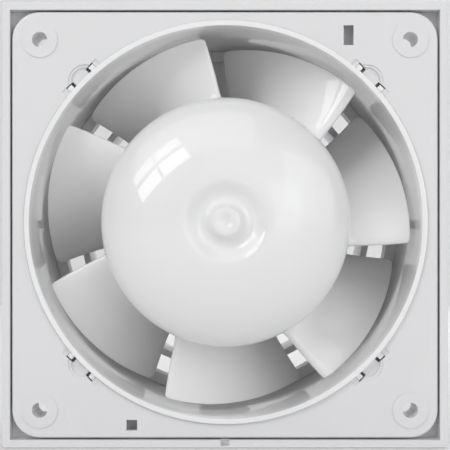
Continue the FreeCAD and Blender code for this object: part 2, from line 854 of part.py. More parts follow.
def coil_bobbin():
    sleeve = around_core("bobbin_sleeve", "window_half_width - 0.1", BOBBIN_PLAY + BOBBIN_WALL)
    flanges = around_core("bobbin_flanges", "window_half_width - 0.1",
                          BOBBIN_PLAY + BOBBIN_WALL + FLANGE_RISE)
    between = around_core("bobbin_between", f"window_half_width - 0.1 - {FLANGE_THICKNESS}",
                          BOBBIN_PLAY + BOBBIN_WALL + FLANGE_RISE + 1)
    hole = around_core("bobbin_hole", "window_half_width + 1", BOBBIN_PLAY)
    solid = fuse("bobbin_solid", [sleeve, cut("bobbin_two_flanges", flanges, between)])
    return cut("coil_bobbin", solid, hole)


def coil_winding():
    half_x = f"window_half_width - 0.1 - {FLANGE_THICKNESS}"
    outside = around_core("winding_outside", half_x, BOBBIN_PLAY + BOBBIN_WALL + COIL_RISE)
    inside = around_core("winding_inside", "window_half_width + 1", BOBBIN_PLAY + BOBBIN_WALL)
    crowned = doc.addObject("Part::Fillet", "winding_rounded")
    crowned.Base = outside
    doc.recompute()
    along_x = []
    for index, edge in enumerate(outside.Shape.Edges, start=1):
        box = edge.BoundBox
        if box.XLength > 1 and box.YLength < 0.01 and box.ZLength < 0.01:
            along_x.append((index, 3.0, 3.0))
    crowned.Edges = along_x
    return cut("coil_winding", crowned, inside)


def thermal_fuse():
    piece = doc.addObject("Part::Cylinder", "thermal_fuse")
    piece.Placement = Placement(Vector(), ALONG_X)
    grow = BOBBIN_PLAY + BOBBIN_WALL + COIL_RISE
    bind(piece, {
        "Radius": 1.9,
        "Height": 12,
        "Placement.Base.x": -6,
        "Placement.Base.y": f"{CORE_MIDDLE_Y} + {CORE_HALF_Y} + {grow} + 1.95",
        "Placement.Base.z": CORE_MIDDLE_Z,
    })
    return piece


def end_bracket(name, plate_y, feet_y, seat_y, plate_half_z):
    """A cast bridge over one end of the rotor, with the seat of its bush."""
    half_x = "stack_half_width"
    plate = block(f"{name}_plate", (f"-{half_x}", half_x), plate_y, (f"-{plate_half_z}", plate_half_z))
    seat = rod(f"{name}_seat", "bush_radius + 2.5", seat_y[0], f"({seat_y[1]}) - ({seat_y[0]})")
    feet = []
    holes = [rod(f"{name}_bush_hole", "bush_radius", f"({seat_y[0]}) - 1",
                 f"({seat_y[1]}) - ({seat_y[0]}) + 2")]
    for across in (-1, 1):
        x = f"({across}) * tie_place"
        feet.append(rod(f"{name}_foot_{across + 2}", 3.4, feet_y[0], f"({feet_y[1]}) - ({feet_y[0]})", x))
        holes.append(rod(f"{name}_tie_hole_{across + 2}", "tie_radius + 0.05", f"({feet_y[0]}) - 5",
                         f"({feet_y[1]}) - ({feet_y[0]}) + 10", x))
    return fuse(f"{name}_solid", [plate, seat] + feet), holes


def motor_front_bracket():
    solid, holes = end_bracket("front_bracket", ("stack_front - 9", "stack_front - 7"),
                               ("stack_front - 7.5", "stack_front"),
                               ("stack_front - 12.5", "stack_front - 5"), 8)
    return cut("motor_front_bracket", solid, fuse("front_bracket_holes", holes))


def motor_rear_bracket():
    solid, holes = end_bracket("rear_bracket", ("stack_rear + 7", "stack_rear + 9"),
                               ("stack_rear", "stack_rear + 7.5"),
                               ("stack_rear + 4", "stack_rear + 11.5"), 12.5)
    for across in (-1, 1):
        for up in (-1, 1):
            holes.append(rod(f"rear_bracket_mount_{across + 2}_{up + 2}", "tie_radius + 0.05",
                             "stack_rear + 6", 4, f"({across}) * mount_x", f"({up}) * mount_z"))
    return cut("motor_rear_bracket", solid, fuse("rear_bracket_holes", holes))


def bearing(name, start):
    return tube(name, "bush_radius - 0.02", "bush_bore", start, "bush_length")


def motor_tie_screws():
    screws = []
    for across in (-1, 1):
        screws.append(screw(f"tie_screw_{across + 2}", "tie_radius", 3.0, "stack_front - 9", 1.8,
                            "stack_rear + 9", f"({across}) * tie_place", "0"))
    return group("motor_tie_screws", screws)


def mount_pieces(make):
    pieces = []
    for across in (-1, 1):
        for up in (-1, 1):
            label = f"{across + 2}_{up + 2}"
            pieces.append(make(label, f"({across}) * mount_x", f"({up}) * mount_z"))
    return pieces


def rubber_dampers():
    def damper(label, x, z):
        return tube(f"damper_{label}", "damper_radius", "tie_radius + 0.2", "stack_rear + 9",
                    "ring_plane - stack_rear - 9", x, z)
    return group("rubber_dampers", mount_pieces(damper))


def motor_mount_screws():
    def one(label, x, z):
        return screw(f"mount_screw_{label}", "tie_radius", 2.8, "arm_front", 1.8, "stack_rear + 7", x, z)
    return group("motor_mount_screws", mount_pieces(one))


# ---------------------------------------------------------------- rotor and impeller

def motor_shaft():
    body = new_body("motor_shaft")
    section = side_sketch(body, "shaft_section")
    polygon(section, [
        ("0", "shaft_front"),
        ("shaft_radius", "shaft_front"),
        ("shaft_radius", "shaft_rear"),
        ("0", "shaft_rear"),
    ])
    turned(body, section)
    ends = edge_names(body.Shape, lambda edge: edge.BoundBox.YLength < 1e-4 and edge.BoundBox.XLength > 4)
    rounded(body, "Chamfer", ends, "0.4")
    return body


def cage_bars(name, radius):
    bars = []
    count = int(size("cage_bars"))
    for index in range(count):
        angle = f"{index} * 360 / cage_bars"
        bars.append(rod(f"{name}_{index + 1}", radius, "stack_front", "stack_rear - stack_front",
                        f"cage_bar_place * cos({angle})", f"cage_bar_place * sin({angle})"))
    return bars


def rotor_core():
    solid = rod("rotor_core_solid", "rotor_radius", "stack_front", "stack_rear - stack_front")
    bore = rod("rotor_core_bore", "shaft_radius", "stack_front", "stack_rear - stack_front")
    return cut("rotor_core", solid, fuse("rotor_core_openings", [bore] + cage_bars("rotor_slot", "cage_bar")))


def rotor_cage():
    front = tube("cage_front_ring", "cage_outside", "cage_inside", "stack_front - cage_ring", "cage_ring")
    rear = tube("cage_rear_ring", "cage_outside", "cage_inside", "stack_rear", "cage_ring")
    return fuse("rotor_cage", [front, rear] + cage_bars("cage_bar", "cage_bar"))


def thrust_washers():
    front = tube("thrust_washer_front", 5.0, "shaft_radius", "stack_front - 3.6", 0.8)
    rear = tube("thrust_washer_rear", 5.0, "shaft_radius", "stack_rear + 2.8", 0.8)
    return group("thrust_washers", [front, rear])


def impeller_clamp_ring():
    return tube("impeller_clamp_ring", "shaft_boss + 1.2", "shaft_boss", "boss_rear - 5.5", 4.5)


# How far the nose is sunk below the plain dome, at a few radii: a dished button in a round moat.
NOSE_RELIEF = (
    (0.0, 0.85), (1.3, 0.7), (2.6, 0.25), (4.0, 0.0), (5.0, 0.2), (5.8, 1.2), (6.6, 2.7),
    (7.6, 3.6), (8.8, 3.8), (10.4, 3.3), (12.2, 2.15), (13.8, 1.0), (15.3, 0.3), (17.0, 0.05), (19.0, 0.0),
)


def dome_y(radius, outside, height):
    """The plain dome: half an ellipse over the hub's rim."""
    return number("ring_front") - height * math.sqrt(max(0.0, 1 - (radius / outside) ** 2))


def impeller_hub():
    """The dome and its barrel as one shell, with the boss and six ribs inside."""
    outside = size("hub_radius")
    inside = outside - size("hub_wall")
    height = size("dome_height")
    rear = size("hub_rear")
    nose = [Vector(radius, dome_y(radius, outside, height) + sunk, 0) for radius, sunk in NOSE_RELIEF]
    last = NOSE_RELIEF[-1][0]
    steps = 14
    for step in range(1, steps + 1):
        angle = math.acos(last / outside) * (1 - step / steps)
        radius = outside * math.cos(angle)
        nose.append(Vector(radius, dome_y(radius, outside, height), 0))
    skin = Part.BSplineCurve()
    skin.interpolate(nose)
    rim = nose[-1]

    inner_height = height - size("hub_wall") - 0.6
    inner = []
    for step in range(steps + 1):
        radius = inside * math.cos(math.acos(last / inside) * step / steps)
        inner.append(Vector(radius, dome_y(radius, inside, inner_height), 0))
    joint = dome_y(last, inside, inner_height) - dome_y(last, outside, height)
    for radius, sunk in reversed(NOSE_RELIEF[:-1]):
        inner.append(Vector(radius, dome_y(radius, outside, height) + sunk + joint, 0))
    lining = Part.BSplineCurve()
    lining.interpolate(inner)

    section = Part.Wire([
        skin.toShape(),
        Part.LineSegment(rim, Vector(outside, rear, 0)).toShape(),
        Part.LineSegment(Vector(outside, rear, 0), Vector(inside, rear, 0)).toShape(),
        Part.LineSegment(Vector(inside, rear, 0), inner[0]).toShape(),
        lining.toShape(),
        Part.LineSegment(inner[-1], nose[0]).toShape(),
    ])
    shell = Part.Face(section).revolve(Vector(), Vector(0, 1, 0), 360)

    top = dome_y(0, inside, inner_height) - 0.6
    boss = Part.makeCylinder(size("shaft_boss"), size("boss_rear") - top, Vector(0, top, 0), Vector(0, 1, 0))
    ribs = []
    for index in range(6):
        thick = size("rib_thickness")
        rib = Part.makeBox(inside - 1, size("rib_rear") - top, thick, Vector(2, top, -thick / 2))
        rib.rotate(Vector(), Vector(0, 1, 0), 60 * index + 30)
        ribs.append(rib)
    cavity = Part.Face(Part.Wire([
        lining.toShape(),
        Part.LineSegment(inner[-1], Vector(0, rear, 0)).toShape(),
        Part.LineSegment(Vector(0, rear, 0), Vector(inside, rear, 0)).toShape(),
        Part.LineSegment(Vector(inside, rear, 0), inner[0]).toShape(),
    ])).revolve(Vector(), Vector(0, 1, 0), 360)
    fitted = ribs[0].fuse(ribs[1:] + [boss]).common(cavity)
    bore = Part.makeCylinder(size("shaft_radius"), 60, Vector(0, size("shaft_front"), 0), Vector(0, 1, 0))
    hub = shell.fuse(fitted).cut(bore)

    piece = doc.addObject("Part::Feature", "impeller_hub")
    piece.Shape = hub.removeSplitter()
    piece.Placement = Placement()
    return piece


CAMBER = 1.3
BLADE_STATIONS = (40.0, 48.0, 56.0, 64.0, 73.0)
CHORD_POINTS = 9


def blade_section(station):
    """A closed outline in the plane that stands at this distance from the axis.

    The chord runs from the leading edge, clockwise and near the front, back to the trailing
    edge. It is flat to the plane of rotation at its front and steeper towards its rear.
    """
    root = size("hub_radius")
    tip = size("blade_tip")
    along = (station - root) / (tip - root)
    sweep = size("blade_sweep") * (1 - along)
    thickness = size("blade_root_thickness") * (1 - along) + size("blade_tip_thickness") * along
    middle = []
    for index in range(CHORD_POINTS):
        chord = index / (CHORD_POINTS - 1)
        angle = math.radians(size("blade_span") * (0.5 - chord) + sweep)
        depth = size("blade_front") + (size("blade_rear") - size("blade_front")) * chord ** CAMBER
        middle.append(Vector(station * math.tan(angle), depth, station))
    front_side = []
    rear_side = []
    for index, point in enumerate(middle):
        ahead = middle[max(index - 1, 0)]
        behind = middle[min(index + 1, CHORD_POINTS - 1)]
        run = behind - ahead
        run.normalize()
        across = Vector(-run.y, run.x, 0) * (thickness / 2)
        front_side.append(point + across)
        rear_side.append(point - across)

    def side(points):
        curve = Part.BSplineCurve()
        curve.interpolate(points)
        return curve.toShape()

    def nose(first, last, outward):
        bulge = (first + last) / 2 + outward * (thickness / 2)
        return Part.Arc(first, bulge, last).toShape()

    lead_out = (middle[0] - middle[1]).normalize()
    trail_out = (middle[-1] - middle[-2]).normalize()
    return Part.Wire([
        side(front_side),
        nose(front_side[-1], rear_side[-1], trail_out),
        side(list(reversed(rear_side))),
        nose(rear_side[0], front_side[0], lead_out),
    ])


def impeller_blades():
    """Seven blades, whose roots meet the hub face to face: hub and blades are one moulding."""
    blank = Part.makeLoft([blade_section(station) for station in BLADE_STATIONS], True, False)
    rear = size("blade_rear") + 10
    front = size("blade_front") - 10
    limits = Part.makeCylinder(size("blade_tip"), rear - front, Vector(0, front, 0), Vector(0, 1, 0))
    core = Part.makeCylinder(size("hub_radius"), rear - front, Vector(0, front, 0), Vector(0, 1, 0))
    first = blank.common(limits.cut(core))
    count = int(size("blade_count"))
    blades = []
    for index in range(count):
        blade = doc.addObject("Part::Feature", f"blade_{index + 1}")
        blade.Shape = first
        turn = size("blade_first") + 360 / count * index
        blade.Placement = Placement(Vector(), Rotation(Vector(0, 1, 0), turn))
        blades.append(blade)
    return group("impeller_blades", blades)


# ---------------------------------------------------------------- build, check and write

def build():
    return [
        surround_frame(),
        base_plate(),
        duct_sleeve(),
        foam_seal(),
        motor_cup(),
        motor_spider(),
        cable_grommet(),
        cable_clamp(),
        cable_clamp_screws(),
        terminal_block(),
        terminal_screws(),
        rear_cover(),
        rear_cover_screws(),
        lead("live_lead", -1),
        lead("neutral_lead", 1),
        stator_stack(),
        shading_rings(),
        coil_bobbin(),
        coil_winding(),
        thermal_fuse(),
        motor_front_bracket(),
        motor_rear_bracket(),
        bearing("front_bearing", "stack_front - 12"),
        bearing("rear_bearing", "stack_rear + 4.5"),
        motor_tie_screws(),
        rubber_dampers(),
        motor_mount_screws(),
        motor_shaft(),
        rotor_core(),
        rotor_cage(),
        thrust_washers(),
        impeller_clamp_ring(),
        impeller_hub(),
        impeller_blades(),
    ]


pieces = build()
doc.recompute()

for item in doc.Objects:
    for word in ("Invalid", "Error"):
        if word in item.State:
            raise RuntimeError(f"{item.Label} is {word}")

for piece in pieces:
    if piece.Shape.isNull():
        raise RuntimeError(f"{piece.Label} is empty")
    if not piece.Shape.isValid():
        raise RuntimeError(f"{piece.Label} is not a valid shape")

os.makedirs("parts", exist_ok=True)
for piece in pieces:
    piece.Shape.exportStep(f"parts/{piece.Label}.step")
    print(piece.Label, len(piece.Shape.Solids), round(piece.Shape.Volume, 1))
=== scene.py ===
"""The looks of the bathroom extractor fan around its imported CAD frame. Metres, +Z up, the fan faces -Y."""

import json
import math

import bmesh
import bpy
import numpy as np
from mathutils import Matrix, Vector
from mathutils.noise import noise as noise_value


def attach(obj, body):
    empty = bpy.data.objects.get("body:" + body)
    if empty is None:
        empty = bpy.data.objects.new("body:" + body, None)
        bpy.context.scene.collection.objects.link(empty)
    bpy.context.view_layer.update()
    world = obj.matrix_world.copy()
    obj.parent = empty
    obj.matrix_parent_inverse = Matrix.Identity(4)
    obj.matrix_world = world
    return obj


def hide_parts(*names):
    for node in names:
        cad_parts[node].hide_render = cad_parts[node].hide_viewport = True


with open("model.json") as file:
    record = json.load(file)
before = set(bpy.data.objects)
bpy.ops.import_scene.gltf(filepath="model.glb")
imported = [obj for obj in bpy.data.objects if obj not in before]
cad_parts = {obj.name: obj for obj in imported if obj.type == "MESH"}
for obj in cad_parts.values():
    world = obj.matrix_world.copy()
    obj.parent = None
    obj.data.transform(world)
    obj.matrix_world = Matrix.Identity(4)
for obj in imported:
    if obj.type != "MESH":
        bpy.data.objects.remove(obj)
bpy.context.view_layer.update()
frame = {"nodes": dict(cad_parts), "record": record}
nodes = frame["nodes"]

MM = 0.001


# ---------------------------------------------------------------- mesh helpers

def add_mesh(name, vertices, faces):
    """A new mesh object from vertices in metres."""
    mesh = bpy.data.meshes.new(name)
    mesh.from_pydata([tuple(vertex) for vertex in vertices], [], faces)
    mesh.validate()
    piece = bpy.data.objects.new(name, mesh)
    bpy.context.scene.collection.objects.link(piece)
    return piece


def tidy_normals(piece, merge=1e-6):
    """Merges doubled vertices and turns every face outwards."""
    work = bmesh.new()
    work.from_mesh(piece.data)
    bmesh.ops.remove_doubles(work, verts=work.verts, dist=merge)
    bmesh.ops.recalc_face_normals(work, faces=work.faces)
    work.to_mesh(piece.data)
    work.free()


def shade(piece, angle=32):
    """Smooth shading, with edges sharper than the angle kept crisp."""
    limit = math.radians(angle)
    work = bmesh.new()
    work.from_mesh(piece.data)
    for face in work.faces:
        face.smooth = True
    for edge in work.edges:
        edge.smooth = len(edge.link_faces) == 2 and edge.calc_face_angle(0.0) < limit
    work.to_mesh(piece.data)
    work.free()


def revolve(profile, segments):
    """Vertices and faces of a profile of (radius, y) pairs, turned about the Y axis.

    A radius of zero becomes one vertex on the axis.
    """
    vertices = []
    rings = []
    for radius, y in profile:
        if radius < 1e-9:
            rings.append([len(vertices)] * segments)
            vertices.append((0.0, y, 0.0))
            continue
        ring = []
        for index in range(segments):
            angle = 2 * math.pi * index / segments
            ring.append(len(vertices))
            vertices.append((radius * math.sin(angle), y, radius * math.cos(angle)))
        rings.append(ring)
    faces = []
    for first, second in zip(rings, rings[1:]):
        for index in range(segments):
            following = (index + 1) % segments
            corners = [first[index], first[following], second[following], second[index]]
            unique = list(dict.fromkeys(corners))
            if len(unique) >= 3:
                faces.append(unique)
    return vertices, faces


def add_turned(vertices, faces, part, degrees):
    """Adds another mesh's vertices and faces to these lists, turned about the Y axis."""
    spin = Matrix.Rotation(math.radians(degrees), 3, "Y")
    start = len(vertices)
    vertices += [tuple(spin @ Vector(vertex)) for vertex in part[0]]
    faces += [[start + corner for corner in face] for face in part[1]]


def corner_arc(centre, radius, start, end, steps=6):
    """Points of an arc in the section plane, its angles in degrees from +radius towards +y."""
    points = []
    for index in range(steps + 1):
        angle = math.radians(start + (end - start) * index / steps)
        points.append((centre[0] + radius * math.cos(angle), centre[1] + radius * math.sin(angle)))
    return points


def smooth_through(samples, radius):
    """A smooth curve through (radius, value) samples, without overshoot (monotone cubic)."""
    xs = [sample[0] for sample in samples]
    ys = [sample[1] for sample in samples]
    if radius >= xs[-1]:
        return ys[-1]
    slopes = [(ys[i + 1] - ys[i]) / (xs[i + 1] - xs[i]) for i in range(len(xs) - 1)]
    tangents = [0.0]
    for before, after in zip(slopes, slopes[1:]):
        tangents.append(0.0 if before * after <= 0 else 2 * before * after / (before + after))
    tangents.append(0.0)
    index = max(i for i in range(len(xs) - 1) if xs[i] <= radius)
    width = xs[index + 1] - xs[index]
    t = (radius - xs[index]) / width
    start = (2 * t ** 3 - 3 * t ** 2 + 1) * ys[index] + (t ** 3 - 2 * t ** 2 + t) * width * tangents[index]
    end = (3 * t ** 2 - 2 * t ** 3) * ys[index + 1] + (t ** 3 - t ** 2) * width * tangents[index + 1]
    return start + end


# ---------------------------------------------------------------- materials

def new_material(name):
    """A material with one Principled shader: the material, its node tree and the shader."""
    material = bpy.data.materials.new(name)
    material.use_nodes = True
    tree = material.node_tree
    tree.nodes.clear()
    output = tree.nodes.new("ShaderNodeOutputMaterial")
    shader = tree.nodes.new("ShaderNodeBsdfPrincipled")
    tree.links.new(shader.outputs["BSDF"], output.inputs["Surface"])
    return material, tree, shader


def noise(tree, scale, detail=4.0, rough=0.5, stretch=(1, 1, 1)):
    """Noise in the object's own coordinates: scale is in waves per metre."""
    place = tree.nodes.new("ShaderNodeTexCoord")
    mapping = tree.nodes.new("ShaderNodeMapping")
    mapping.inputs["Scale"].default_value = stretch
    tree.links.new(place.outputs["Object"], mapping.inputs["Vector"])
    texture = tree.nodes.new("ShaderNodeTexNoise")
    texture.inputs["Scale"].default_value = scale
    texture.inputs["Detail"].default_value = detail
    texture.inputs["Roughness"].default_value = rough
    tree.links.new(mapping.outputs["Vector"], texture.inputs["Vector"])
    return texture.outputs["Fac"]


def ramp(tree, value, low, high, start=0.35, end=0.65):
    """Two colours or grey values blended over a stretch of a value."""
    node = tree.nodes.new("ShaderNodeValToRGB")
    node.color_ramp.elements[0].position = start
    node.color_ramp.elements[1].position = end
    node.color_ramp.elements[0].color = (*low, 1) if hasattr(low, "__len__") else (low, low, low, 1)
    node.color_ramp.elements[1].color = (*high, 1) if hasattr(high, "__len__") else (high, high, high, 1)
    tree.links.new(value, node.inputs["Fac"])
    return node.outputs["Color"]


def bump(tree, shader, height, strength, distance, under=None):
    """Relief from a height value, distance in metres, laid over the relief under it."""
    node = tree.nodes.new("ShaderNodeBump")
    node.inputs["Strength"].default_value = strength
    node.inputs["Distance"].default_value = distance
    tree.links.new(height, node.inputs["Height"])
    if under is not None:
        tree.links.new(under, node.inputs["Normal"])
    tree.links.new(node.outputs["Normal"], shader.inputs["Normal"])
    return node.outputs["Normal"]


def scuffed(tree, clean, scuff_colour):
    """The clean colour with small faint scuffs from handling."""
    marks = ramp(tree, noise(tree, 420, 6, 0.6), 0.0, 0.5, 0.60, 0.72)
    mix = tree.nodes.new("ShaderNodeMixRGB")
    tree.links.new(marks, mix.inputs["Fac"])
    tree.links.new(clean, mix.inputs["Color1"])
    mix.inputs["Color2"].default_value = (*scuff_colour, 1)
    return mix.outputs["Color"]


def moulded_plastic(name, colour, roughness, grain, grain_depth, coat=0.0, coat_roughness=0.03):
    """Moulded plastic: faint flow clouding, a fine eroded grain and uneven gloss."""
    material, tree, shader = new_material(name)
    dark = tuple(channel * 0.985 for channel in colour)
    clouds = ramp(tree, noise(tree, 28, 3), dark, colour, 0.3, 0.7)
    scuff = tuple(channel * 0.992 for channel in colour)
    tree.links.new(scuffed(tree, clouds, scuff), shader.inputs["Base Color"])
    gloss = ramp(tree, noise(tree, 140, 4), roughness * 0.95, roughness * 1.06)
    tree.links.new(gloss, shader.inputs["Roughness"])
    fine = noise(tree, grain, 2)
    broad = noise(tree, 45, 1)
    waviness = bump(tree, shader, broad, 0.1, 0.00005)
    bump(tree, shader, fine, 0.35, grain_depth, waviness)
    shader.inputs["IOR"].default_value = 1.5
    shader.inputs["Coat Weight"].default_value = coat
    shader.inputs["Coat Roughness"].default_value = coat_roughness
    return material


def metal(name, colour, roughness, stretch=(1, 1, 1), scale=900, depth=0.00002):
    """Bare metal with drawn or cast texture and blotchy tarnish."""
    material, tree, shader = new_material(name)
    dull = tuple(channel * 0.8 for channel in colour)
    tree.links.new(ramp(tree, noise(tree, 160, 5), dull, colour, 0.3, 0.6), shader.inputs["Base Color"])
    grain = noise(tree, scale, 3, 0.6, stretch)
    tree.links.new(ramp(tree, grain, roughness * 0.75, roughness * 1.3), shader.inputs["Roughness"])
    bump(tree, shader, grain, 0.4, depth)
    shader.inputs["Metallic"].default_value = 1.0
    return material


def matte(name, colour, roughness, scale, depth, spread=0.15):
    """Rubber, foam, tape or insulation: matte, with a grain of its own size."""
    material, tree, shader = new_material(name)
    dark = tuple(channel * (1 - spread) for channel in colour)
    tree.links.new(ramp(tree, noise(tree, scale / 3, 4), dark, colour), shader.inputs["Base Color"])
    grain = noise(tree, scale, 5)
    tree.links.new(ramp(tree, grain, roughness * 0.9, min(1.0, roughness * 1.1)), shader.inputs["Roughness"])
    bump(tree, shader, grain, 0.6, depth)
    return material


def layered(name, colour, seam_colour, pitch, axis, roughness, metallic, depth):
    """A stack of laminations or a wound coil: fine even lines across one axis."""
    material, tree, shader = new_material(name)
    place = tree.nodes.new("ShaderNodeTexCoord")
    wave = tree.nodes.new("ShaderNodeTexWave")
    wave.bands_direction = axis
    wave.inputs["Scale"].default_value = 1 / (pitch * 3.2)
    wave.inputs["Distortion"].default_value = 0.25
    wave.inputs["Detail"].default_value = 1.0
    tree.links.new(place.outputs["Object"], wave.inputs["Vector"])
    bands = ramp(tree, wave.outputs["Fac"], seam_colour, colour, 0.1, 0.5)
    tree.links.new(bands, shader.inputs["Base Color"])
    gloss = ramp(tree, noise(tree, 300, 4), roughness * 0.85, roughness * 1.2)
    tree.links.new(gloss, shader.inputs["Roughness"])
    bump(tree, shader, wave.outputs["Fac"], 0.5, depth)
    shader.inputs["Metallic"].default_value = metallic
    return material


# WHITE is the plastic's own white. The sleeve, bracket and impeller are the same white plastic made lighter,
# so the parts inside the duct read brighter: painted light standing in for light that thin white plastic
# lets through and throws back inside the duct.
WHITE = (0.81, 0.81, 0.82)
DUCT_WHITE_WITH_PAINTED_LIGHT = (0.93, 0.93, 0.935)
IMPELLER_WHITE_WITH_PAINTED_LIGHT = (0.90, 0.90, 0.905)

MATERIALS = {
    "white_housing": moulded_plastic("white_housing", WHITE, 0.30, 2600, 0.000005),
    # The sleeve, bracket and impeller materials below use the lightened whites: the plastic's own white plus
    # painted light.
    "white_sleeve": moulded_plastic("white_sleeve", DUCT_WHITE_WITH_PAINTED_LIGHT, 0.16, 1800, 0.000008, coat=0.4),
    "white_bracket": moulded_plastic("white_bracket", DUCT_WHITE_WITH_PAINTED_LIGHT, 0.34, 2400, 0.000005),
    "white_impeller": moulded_plastic("white_impeller", IMPELLER_WHITE_WITH_PAINTED_LIGHT, 0.38, 1600, 0.000004,
                                      coat=0.8, coat_roughness=0.015),
    "foam": matte("foam", (0.16, 0.16, 0.165), 0.95, 1500, 0.0002),
    "rubber": matte("rubber", (0.025, 0.025, 0.027), 0.7, 2500, 0.00003),
    "zinc_steel": metal("zinc_steel", (0.62, 0.63, 0.64), 0.28),
    "ground_steel": metal("ground_steel", (0.56, 0.57, 0.58), 0.2, (1, 0.05, 1), 2500),
    "brass": metal("brass", (0.72, 0.55, 0.25), 0.3),
    "copper": metal("copper", (0.70, 0.34, 0.20), 0.32),
    "terminal_plastic": matte("terminal_plastic", (0.66, 0.66, 0.62), 0.5, 1800, 0.00002, 0.06),
    "bobbin_plastic": matte("bobbin_plastic", (0.03, 0.03, 0.033), 0.45, 1800, 0.00002),
    "winding_tape": layered("winding_tape", (0.62, 0.47, 0.08), (0.40, 0.28, 0.04), 0.004, "X",
                            0.35, 0, 0.0001),
    "brown_insulation": matte("brown_insulation", (0.13, 0.055, 0.025), 0.4, 1500, 0.00002),
    "blue_insulation": matte("blue_insulation", (0.02, 0.08, 0.36), 0.4, 1500, 0.00002),
    "lamination_steel": layered("lamination_steel", (0.32, 0.32, 0.33), (0.10, 0.10, 0.10), 0.0005, "Y",
                                0.42, 1, 0.00006),
    "cast_alloy": metal("cast_alloy", (0.60, 0.61, 0.62), 0.45, scale=700, depth=0.00006),
    "sintered_bronze": metal("sintered_bronze", (0.44, 0.30, 0.16), 0.5, scale=2200, depth=0.00005),
    "washer_fibre": matte("washer_fibre", (0.30, 0.16, 0.07), 0.7, 1800, 0.00004),
}


def wear(piece, material):
    """Puts one material on a piece, in the slots that it already has."""
    if not piece.data.materials:
        piece.data.materials.append(material)
        return
    for index in range(len(piece.data.materials)):
        piece.data.materials[index] = material


def dress_cad_nodes():
    """Every CAD node gets the procedural material of its slot in the record."""
    for entry in frame["record"]["subparts"]:
        wear(nodes[entry["node"]], MATERIALS[entry["material_slot"]])
    wear(nodes["duct_sleeve"], MATERIALS["white_sleeve"])


# ---------------------------------------------------------------- impeller

HUB_RADIUS = 46.0
HUB_WALL = 2.0
HUB_REAR = 36.0
DOME_HEIGHT = 18.0
RIM_Y = -18.0
LINING_HEIGHT = 15.4
SHAFT_BOSS = 6.0
SHAFT_RADIUS = 2.5
SHAFT_FRONT = -24.0
RIB_COUNT = 6
RIB_THICKNESS = 1.5
RIB_REAR = -6.0
RIB_SUNK = 0.3
HUB_EDGE = 0.6
BARREL_ROWS = (-4.0, 16.0)
HUB_SEGMENTS = 240
NOSE_RELIEF = (
    (0.0, 0.85), (1.3, 0.7), (2.6, 0.25), (4.0, 0.0), (5.0, 0.2), (5.8, 1.2), (6.6, 2.7),
    (7.6, 3.6), (8.8, 3.8), (10.4, 3.3), (12.2, 2.15), (13.8, 1.0), (15.3, 0.3), (17.0, 0.05), (19.0, 0.0),
)
BLADE_COUNT = 7
BLADE_TIP = 70.4
BLADE_SPAN = 44.5
BLADE_FIRST = 22.0
BLADE_SWEEP = 3.6
BLADE_FRONT = -4.0
BLADE_REAR = 30.0
ROOT_THICKNESS = 2.6
TIP_THICKNESS = 1.7
CAMBER = 1.3
FILLET = 1.6
ROOT_FLARE = 2.4
TIP_ROUND = 0.5
LEAD_CORNER = 1.2
TRAIL_CORNER = 3.0
CHORD_POINTS = 26


def dome_y(radius, outside=HUB_RADIUS, height=DOME_HEIGHT):
    """The plain dome: half an ellipse over the hub's rim."""
    return RIM_Y - height * math.sqrt(max(0.0, 1 - (radius / outside) ** 2))


def nose_y(radius):
    """The front skin: the dome with the dished button and its moat pressed into it."""
    return dome_y(radius) + smooth_through(NOSE_RELIEF, radius)


def lining_points():
    """The inside of the dome from the barrel to the boss; near the axis it follows the nose."""
    inside = HUB_RADIUS - HUB_WALL
    relief_end = NOSE_RELIEF[-1][0]
    joint = dome_y(relief_end, inside, LINING_HEIGHT) - dome_y(relief_end)
    points = []
    steps = 24
    for index in range(steps + 1):
        radius = inside * math.cos(math.acos(relief_end / inside) * index / steps)
        points.append((radius, dome_y(radius, inside, LINING_HEIGHT)))
    for index in range(1, steps + 1):
        radius = relief_end - (relief_end - SHAFT_BOSS) * index / steps
        points.append((radius, nose_y(radius) + joint))
    return points


def hub_profile():
    """The hub's closed section in millimetres: dome, barrel, lining, boss and bore."""
    relief_end = NOSE_RELIEF[-1][0]
    steps = 90
    points = [(relief_end * index / steps, nose_y(relief_end * index / steps)) for index in range(steps)]
    start = math.acos(relief_end / HUB_RADIUS)
    outer_steps = 40
    for index in range(outer_steps + 1):
        radius = HUB_RADIUS * math.cos(start * (1 - index / outer_steps))
        points.append((radius, dome_y(radius)))
    points += [(HUB_RADIUS, y) for y in BARREL_ROWS]
    points += corner_arc((HUB_RADIUS - HUB_EDGE, HUB_REAR - HUB_EDGE), HUB_EDGE, 0, 90)
    points.append((HUB_RADIUS - HUB_WALL, HUB_REAR))
    points += lining_points()
    points += [(SHAFT_BOSS, 0.0), (SHAFT_RADIUS, 0.0), (SHAFT_RADIUS, SHAFT_FRONT), (0.0, SHAFT_FRONT)]
    return points


def rib_mesh():
    """Vertices and faces of one rib, which runs from the boss to the barrel under the dome."""
    sunk = RIB_SUNK
    outline = [(radius, y - sunk) for radius, y in lining_points()]
    outline += [(SHAFT_BOSS - sunk, RIB_REAR), (HUB_RADIUS - HUB_WALL + sunk, RIB_REAR)]
    half = RIB_THICKNESS / 2
    vertices = [(side, y, radius) for side in (-half, half) for radius, y in outline]
    count = len(outline)
    faces = [list(range(count)), list(range(2 * count - 1, count - 1, -1))]
    for index in range(count):
        following = (index + 1) % count
        faces.append([index, index + count, following + count, following])
    return vertices, faces


def corner_cut(distance, radius):
    """How far a rounded corner pulls an edge in, at this distance from the end."""
    if distance >= radius:
        return 0.0
    return radius - math.sqrt(max(0.0, radius ** 2 - (radius - distance) ** 2))


